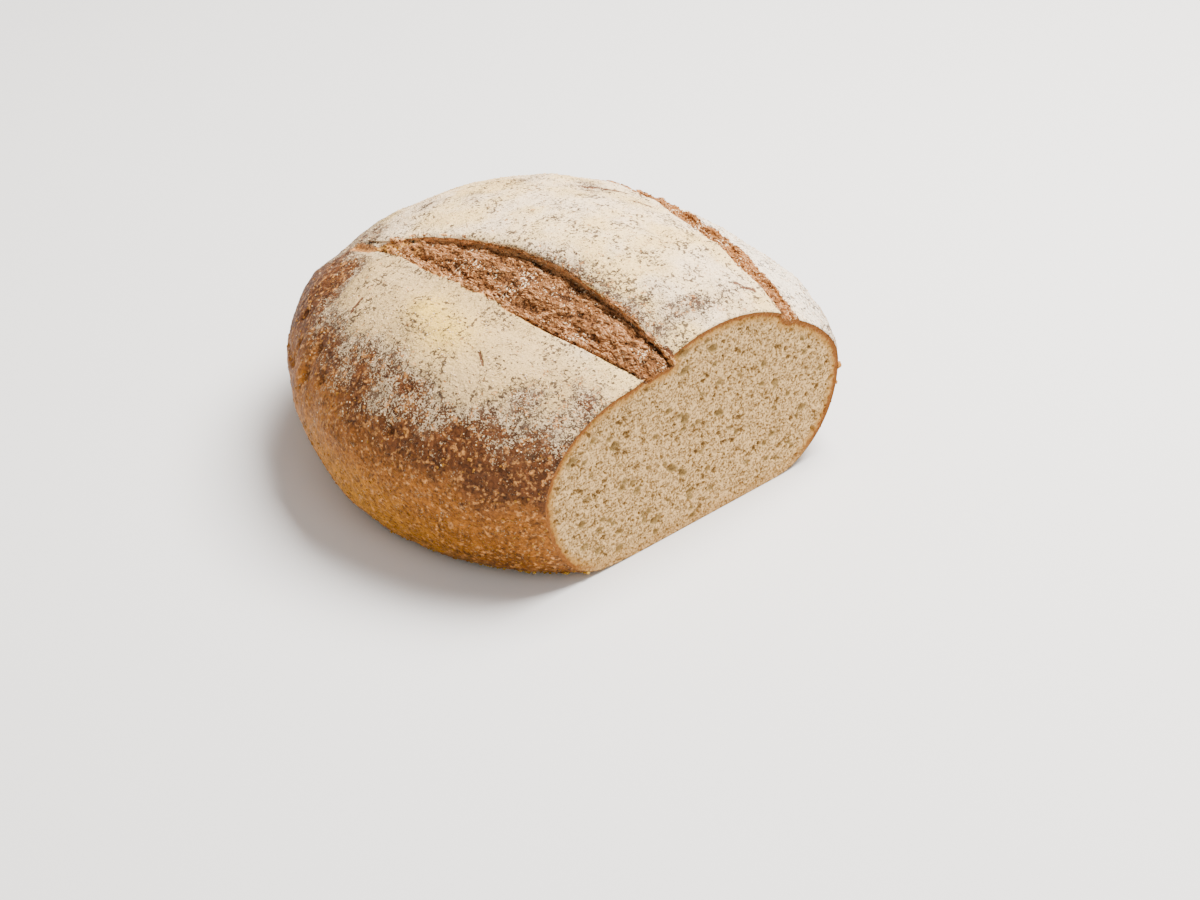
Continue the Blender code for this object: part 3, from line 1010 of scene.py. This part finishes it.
# %% Where the long cracks run
# Each crack: its two ends in mm, seen from above, and its width.
CRACKS = (
    ((51.5, 9.5), (57.2, 5.0), 2.6), ((57.2, 5.0), (62.5, -3.5), 2.4), ((62.5, -3.5), (68.0, -8.0), 1.4),
    ((58.5, -22.9), (62.5, -28.5), 2.2), ((-92.5, 24.1), (-84.2, 26.1), 1.3),
    ((-81.5, -60.0), (-86.0, -67.0), 0.9), ((47.0, -106.0), (51.2, -108.8), 1.7),
    ((51.2, -108.8), (56.0, -110.5), 1.7),
)


# %% The colours of baking
def baked_colour(finish, flour, mottle):
    """Golden low, brown higher, darkest under the flour, with bran, creases and a veil of dust."""
    low = finish.height()
    backward = 10.0 - finish.sum_of("ABSOLUTE", finish.height("Y") - 10.0)
    height = low + finish.clouds(16.0, 30.0) - (backward + 60.0) * 0.2
    # Towards the cut the golden sides turn darker, a painted shade, and fewer pale flecks lie there.
    front = finish.height("Y").soft(-15.0, -112.0)
    skin = finish.blend(height.soft(6.0, 62.0), finish.blend(front, GOLDEN, FRONT_SHADE_GOLDEN), BROWN)
    skin = finish.blend(height.soft(52.0, 76.0) * 0.95, skin, DARK_BROWN)
    skin = finish.blend((low + finish.clouds(3.0, 6.0)).soft(5.5, 2.5) * 0.8, skin, FOOT_YELLOW)
    # The creases and the hole are painted near black, a painted shade in the grooves; elsewhere this colour
    # makes random dark pits.
    skin = finish.blend(finish.attribute("crease") * 0.95, skin, DARK_PIT_AND_CREASE_SHADE)
    uneven = (mottle - 0.5) * 3.0 + finish.clouds(7.0, 1.6) + 1.0
    skin = finish.shade(skin, uneven.largest(0.3))
    pale = finish.noise(2.8, 1.0).soft(0.62, 0.68) * (1.0 - height.soft(35.0, 60.0) * 0.75)
    skin = finish.blend(pale * (0.36 - front * 0.22), skin, BRAN)
    skin = finish.blend(flour.soft(0.22, 0.6), skin, UNDER_FLOUR)
    veil = (flour + finish.clouds(9.0, 1.6, 3.0, 0.6)).soft(0.15, 0.95)
    return finish.blend(veil * 0.38, skin, VEIL)


# %% The colours of flour
def powder_colour(finish, flour, fine):
    """White, creamy in clouds, creamier and darker on the left with painted shade, duller where it lies
    thin, whiter and brighter on the right with painted light, and yellow in two spots.
    """
    across = finish.height("X")
    powder = finish.blend(finish.noise(30.0).soft(0.35, 0.65), WHITE_FLOUR, CREAM_FLOUR)
    # On the left the flour is creamier and darker, a cream tint with painted shade.
    powder = finish.blend(across.soft(-30.0, -62.0) * 0.9, powder, LEFT_CREAM_AND_SHADE_FLOUR)
    powder = finish.blend(flour.soft(0.75, 0.4), powder, FLANK_FLOUR)
    # On the right the flour is whiter and brighter, whiter flour with painted light.
    powder = finish.blend(across.soft(55.0, 95.0), powder, RIGHT_WHITE_AND_LIT_FLOUR)
    powder = finish.blend(finish.attribute("yellow"), powder, YELLOW_FLOUR)
    return finish.shade(powder, fine * 1.3 + 0.35)


# %% The long cracks
def crack_lines(finish):
    """1 on the cracks, each a wavering line between two places."""
    wave = finish.clouds(2.5, 3.0 * MM)
    wiggle = finish.node("ShaderNodeCombineXYZ", {}, {0: wave, 1: wave * 0.5, 2: 0.0})
    return reduce(Signal.largest, [finish.near_line(*crack, wiggle) for crack in CRACKS])


# %% Paint the skin
def make_skin_finish():
    finish = Finish("baked_skin", 0.7, 0.12)
    flour = finish.attribute("flour")
    mottle = finish.noise(1.7, 3.0, 0.6)
    fine = finish.noise(0.9, 2.0, 0.65)
    torn = finish.attribute("torn") + finish.clouds(2.8, 2.0, 2.0, 0.6)
    whole = 1.0 - torn.soft(0.25, 0.55)
    skin = baked_colour(finish, flour, mottle)
    torn_brown = finish.shade(TORN_BROWN, (mottle - 0.5) * 4.0 + 1.0)
    skin = finish.blend(torn.soft(0.05, 0.35), skin, torn_brown)
    skin = finish.blend(finish.noise(2.3, 2.0, 0.6).soft(0.34, 0.29) * 0.8, skin, DARK_PIT_AND_CREASE_SHADE)
    grain = fine * 0.55 + finish.noise(3.0, 2.0, 0.6) * 0.28 + finish.noise(8.0) * 0.17
    cover = ((flour - 0.5) * 0.22 + 0.5 - grain).soft(-0.022, 0.03) * whole
    skin = finish.blend(cover * (flour * 0.35 + 0.62), skin, powder_colour(finish, flour, fine))
    patches = finish.noise(13.0, 3.0, 0.6).soft(0.42, 0.62)
    breaks = finish.noise(5.0, 1.0).soft(0.56, 0.50)
    cracks = (finish.streaks(1.5, 8.0, 0.1) + breaks * 0.03 - patches * 0.012).soft(0.014, 0.0)
    dots = (finish.noise(1.9, 2.0, 0.6) + patches * 0.115 - flour * 0.04).soft(0.60, 0.63)
    marks = cracks.largest(dots) * flour.soft(0.35, 0.7) * whole
    lines = crack_lines(finish)
    skin = finish.blend(marks * 0.9, skin, SPECK)
    finish.colour(finish.blend(lines * 0.95, skin, CRACK_BROWN))
    finish.feed(finish.shader.inputs["Roughness"], cover * 0.35 + 0.55)
    finish.relief(mottle + cover * 0.5 - cracks * 0.5 - lines + finish.noise(3.4, 3.0) * 1.2, 0.7 * MM)
    return finish


hand_over(crust, make_skin_finish())

# %% Paint the torn floors
FLOOR_BROWN = (0.28, 0.110, 0.034)
FLOOR_PIT_SHADE = (0.060, 0.021, 0.006)
FLOOR_PALE = (0.58, 0.29, 0.12)
FLOOR_WALL_LIGHT = (0.86, 0.44, 0.17)
FLOOR_GOLD = (0.62, 0.31, 0.07)
FLOOR_ORANGE = (0.50, 0.19, 0.045)


def make_dough_finish():
    finish = Finish("torn_dough", 0.7, 0.12)
    rise = finish.attribute("rise")
    backward = finish.height("Y")
    grain = finish.noise(1.3, 3.0, 0.65)
    # Darker low in the pits and lighter on the ridges, painted shade and light, with random tone from grain.
    lit_and_tone = rise * 0.45 + (grain - 0.5) * 7.0 + 0.5
    colour = finish.blend(lit_and_tone.soft(-0.3, 0.9), FLOOR_PIT_SHADE, FLOOR_BROWN)
    flakes = (finish.noise(1.8, 3.0, 0.65) + rise * 0.06).soft(0.55, 0.64)
    colour = finish.blend(flakes * 0.85, colour, FLOOR_PALE)
    golden = backward.soft(20.0, 62.0) * finish.noise(6.0).soft(0.38, 0.58) * 0.8
    orange = finish.height("X").soft(35.0, 60.0) * 0.35
    # The steep wall under the right lip is painted lighter: painted light in its shade.
    wall_light = finish.attribute("wall_light") * 0.9
    for share, tint in ((golden, FLOOR_GOLD), (orange, FLOOR_ORANGE), (wall_light, FLOOR_WALL_LIGHT)):
        colour = finish.blend(share, colour, finish.shade(tint, grain * 2.0))
    # The floor is painted brighter towards its back end than at the cut: painted light.
    colour = finish.shade(colour, backward.soft(-50.0, 40.0) * 0.38 + 0.90)
    specks = (finish.noise(1.2, 2.0, 0.6) + finish.noise(11.0) * 0.6).soft(0.93, 0.98)
    finish.colour(finish.blend(specks, colour, WHITE_FLOUR))
    finish.relief(grain, 1.0 * MM)
    return finish


dough_finish = make_dough_finish()
hand_over(floor_left, dough_finish)
hand_over(floor_right, dough_finish)

# %% Paint the crumb
CRUMB_CREAM = (0.74, 0.475, 0.20)
CRUMB_PIT_SHADE = (0.24, 0.135, 0.038)
PORE_FLOOR_SHADE = (0.41, 0.27, 0.098)
PORE_SHADE = (0.19, 0.115, 0.033)
RIM_BROWN = (0.24, 0.082, 0.012)
RIM_GOLD = (0.44, 0.215, 0.04)


def make_crumb_finish():
    finish = Finish("crumb", 0.85, 0.25)
    bowl = finish.attribute("bowl")
    grain = finish.noise(1.15, 1.0)
    middling = finish.noise(2.5, 2.0, 0.6)
    # The crumb is darker the deeper it is dented, a painted shade in the pits, mixed with random tone.
    pit_shade_and_tone = finish.attribute("depth") * 0.8 + (grain - 0.5) * 6.5 + (middling - 0.5) * 2.6
    colour = finish.blend(pit_shade_and_tone.soft(-0.5, 1.6), CRUMB_CREAM, CRUMB_PIT_SHADE)
    # The larger pores are painted darker inside and darkest at their deepest: painted shade.
    pore_floor_shade = finish.shade(PORE_FLOOR_SHADE, middling * 1.2 + 0.4)
    colour = finish.blend(bowl.soft(0.08, 0.4) * 0.85, colour, pore_floor_shade)
    colour = finish.blend(bowl.soft(1.2, 2.2) * 0.85, colour, PORE_SHADE)
    from_rim = finish.attribute("rim") + finish.clouds(3.0, 4.0)
    crusty = finish.height().soft(1.0, 14.0) * 0.8 + 0.2
    colour = finish.blend((1.0 - from_rim.soft(2.4, 8.0)) * crusty * 0.9, colour, RIM_GOLD)
    colour = finish.blend((1.0 - from_rim.soft(1.6, 3.6)) * crusty, colour, RIM_BROWN)
    finish.colour(colour)
    finish.relief(grain + middling, 0.9 * MM)
    return finish


hand_over(crumb, make_crumb_finish())

# %% [markdown]
# ## Loose grains
# What the eye reads as flour and bran are thousands of tiny lumps that catch the light. One low
# ball of twenty faces is modelled once and copied to seeded places on a surface, each copy with its
# own size, squash and turn, and all copies of a kind are joined in one mesh.

# %% A way to strew grains
deselect()
bpy.ops.mesh.primitive_ico_sphere_add(subdivisions=1, radius=1.0, location=(0.0, 0.0, 0.0))
grain_model = bpy.context.object
GRAIN_POINTS = points_of(grain_model)
GRAIN_FACES = np.array([list(face.vertices) for face in grain_model.data.polygons])
bpy.data.objects.remove(grain_model)


def strew(name, surface, weights, count, sizes, flatness, sink=0.2, lead=None, slimness=1.0):
    """Joins this many grains on a surface, more where its faces weigh more; lead lays them along a line."""
    middles, normals = face_table(surface)
    areas = rows_of(surface.data.polygons, "area", 1)[:, 0]
    chances = np.clip(weights, 0.0, None) * areas
    chosen = draws.choice(len(areas), size=count, p=chances / chances.sum())
    spread = draws.normal(size=(count, 3)) * np.sqrt(areas[chosen])[:, None] * 0.35
    up = normals[chosen]
    spread -= up * np.sum(spread * up, axis=1)[:, None]
    size = sizes[0] + (sizes[1] - sizes[0]) * draws.random(count) ** 2.2
    wild = draws.normal(size=(count, 3))
    side = np.cross(up, wild) if lead is None else lead + 0.45 * wild
    side -= up * np.sum(side * up, axis=1)[:, None]
    side /= np.linalg.norm(side, axis=1)[:, None]
    other = np.cross(up, side)
    length = size * draws.uniform(0.8, 1.5, count) * slimness
    width = size * draws.uniform(0.6, 1.0, count) / slimness
    height = size * flatness * draws.uniform(0.7, 1.3, count)
    centres = middles[chosen] + spread + up * (height * (0.5 - sink))[:, None]
    shape = GRAIN_POINTS[None, :, :] * draws.uniform(0.75, 1.2, (count, len(GRAIN_POINTS), 1))
    points = np.repeat(centres[:, None, :], len(GRAIN_POINTS), axis=1)
    for axis, (direction, reach) in enumerate(((side, length), (other, width), (up, height))):
        points += direction[:, None, :] * (shape[:, :, axis] * reach[:, None] / 2.0)[:, :, None]
    points[:, :, 1] = np.maximum(points[:, :, 1], CUT_Y - 0.4 * MM)
    points[:, :, 2] = np.maximum(points[:, :, 2], 0.0)
    faces = GRAIN_FACES[None, :, :] + (np.arange(count) * len(GRAIN_POINTS))[:, None, None]
    mesh = bpy.data.meshes.new(name)
    mesh.from_pydata(points.reshape(-1, 3).tolist(), [], faces.reshape(-1, 3).tolist())
    return add_piece(name, mesh)


def face_values(piece, name):
    """A stored number averaged over every face."""
    values = rows_of(piece.data.attributes[name].data, "value", 1)[:, 0]
    return np.array([values[list(face.vertices)].mean() for face in piece.data.polygons])


# %% Strew the flour
crust_middles, crust_normals = face_table(crust)
outside = crust_middles[:, 1] > CUT_Y + 0.3 * MM
outside[open_faces:] = False
flour_share = face_values(crust, "flour")
torn_share = face_values(crust, "torn")
lumps = (np.clip(flour_share, 0.03, 0.8) + 0.02) * (torn_share < 0.1)
lumps = lumps * (crust_middles[:, 2] > TOP_SIDE) * outside
flour_lumps = strew("flour_lumps", crust, lumps, 8000, (0.35 * MM, 1.1 * MM), 0.5)


def make_grain_finish(name, pale, deep, roughness):
    finish = Finish(name, roughness, 0.25)
    finish.colour(finish.blend(finish.noise(1.5, 2.0, 0.6).soft(0.35, 0.65), pale, deep))
    finish.relief(finish.noise(0.4), 0.1 * MM)
    return finish


hand_over(flour_lumps, make_grain_finish("loose_flour", (0.93, 0.70, 0.44), (0.80, 0.57, 0.32), 0.9))

# %% Strew the bran
sides = (crust_middles[:, 2] > 2.0 * MM) * (flour_share < 0.25) * outside
sides = sides * np.where(crust_middles[:, 2] < 48.0 * MM, 1.0, 0.3)
bran_flakes = strew("bran_flakes", crust, sides, 3000, (0.5 * MM, 1.9 * MM), 0.3)
hand_over(bran_flakes, make_grain_finish("bran", (0.38, 0.165, 0.016), (0.21, 0.08, 0.008), 0.7))

# %% Lay torn strands on the floors
def join(pieces):
    """Joins pieces of a kind in one."""
    deselect()
    for piece in pieces:
        piece.select_set(True)
    bpy.context.view_layer.objects.active = pieces[0]
    bpy.ops.object.join()
    return pieces[0]


def slash_lead(slash):
    lead = np.array((slash.back_x - slash.front_x, SLASH_END - SLASH_START, 0.0))
    return lead / np.linalg.norm(lead)


STRANDS = {
    "pale": (0.3, (0.64, 0.33, 0.15), (0.40, 0.17, 0.055)),
    "brown": (-0.2, (0.34, 0.145, 0.045), (0.17, 0.065, 0.018)),
}
for kind, (lowest, pale, deep) in STRANDS.items():
    strands = []
    for slash, floor_piece, count in ((left_slash, floor_left, 3400), (right_slash, floor_right, 1500)):
        floor_middles, floor_normals = face_table(floor_piece)
        weights = (face_values(floor_piece, "rise") > lowest) * (floor_normals[:, 2] > 0.0)
        weights = weights * (floor_middles[:, 1] > CUT_Y + 1.0 * MM)
        strands.append(strew(
            kind + "_strands", floor_piece, weights, count, (0.7 * MM, 2.0 * MM), 0.4,
            lead=slash_lead(slash), slimness=1.5,
        ))
    hand_over(join(strands), make_grain_finish(kind + "_strand", pale, deep, 0.7))

# %% [markdown]
# ## Crumbs and torn bits
# Where the loaf stood on the oven's stone its foot is coarse and pale, with crumbs of dough stuck to
# it. The knife also tore two bits of crust loose at the right edge of the cut. The crumbs are strewn
# like the grains, and each bit is a ball that is pushed out of shape by noise.

# %% Stick crumbs to the foot
heights = crust_middles[:, 2] / MM
at_foot = (heights > 0.3) * (heights < 5.0) * (crust_normals[:, 2] > -0.8) * outside
foot_crumbs = strew("foot_crumbs", crust, at_foot, 900, (0.5 * MM, 2.0 * MM), 0.7)
crumb_finish = make_grain_finish("pale_crumb", (0.56, 0.34, 0.05), (0.34, 0.17, 0.018), 0.85)
hand_over(foot_crumbs, crumb_finish)

# %% Tear two bits of crust at the cut
EDGE_BITS = ((49.0, 2.2), (39.5, 1.3))

right_edge = outline[outline[:, 0] > 0.0]
bits = []
for number, (height, radius) in enumerate(EDGE_BITS):
    x, z = right_edge[np.abs(right_edge[:, 1] - height * MM).argmin()]
    radius *= MM
    deselect()
    bpy.ops.mesh.primitive_ico_sphere_add(
        subdivisions=4, radius=radius, location=(x + 0.5 * radius, CUT_Y + 0.8 * radius, z))
    bpy.ops.object.transform_apply(location=True)
    bit = bpy.context.object
    bit.name = "crust_bits"
    places = points_of(bit)
    push = 0.5 * clouds(places, 0.9 * radius, 50.0 + number) + 0.2 * clouds(places, 0.35 * radius, 55.0)
    move_points(bit, places + directions_of(bit) * (radius * push)[:, None])
    bits.append(bit)
hand_over(join(bits), make_grain_finish("torn_crust", (0.46, 0.20, 0.035), (0.27, 0.10, 0.015), 0.7))
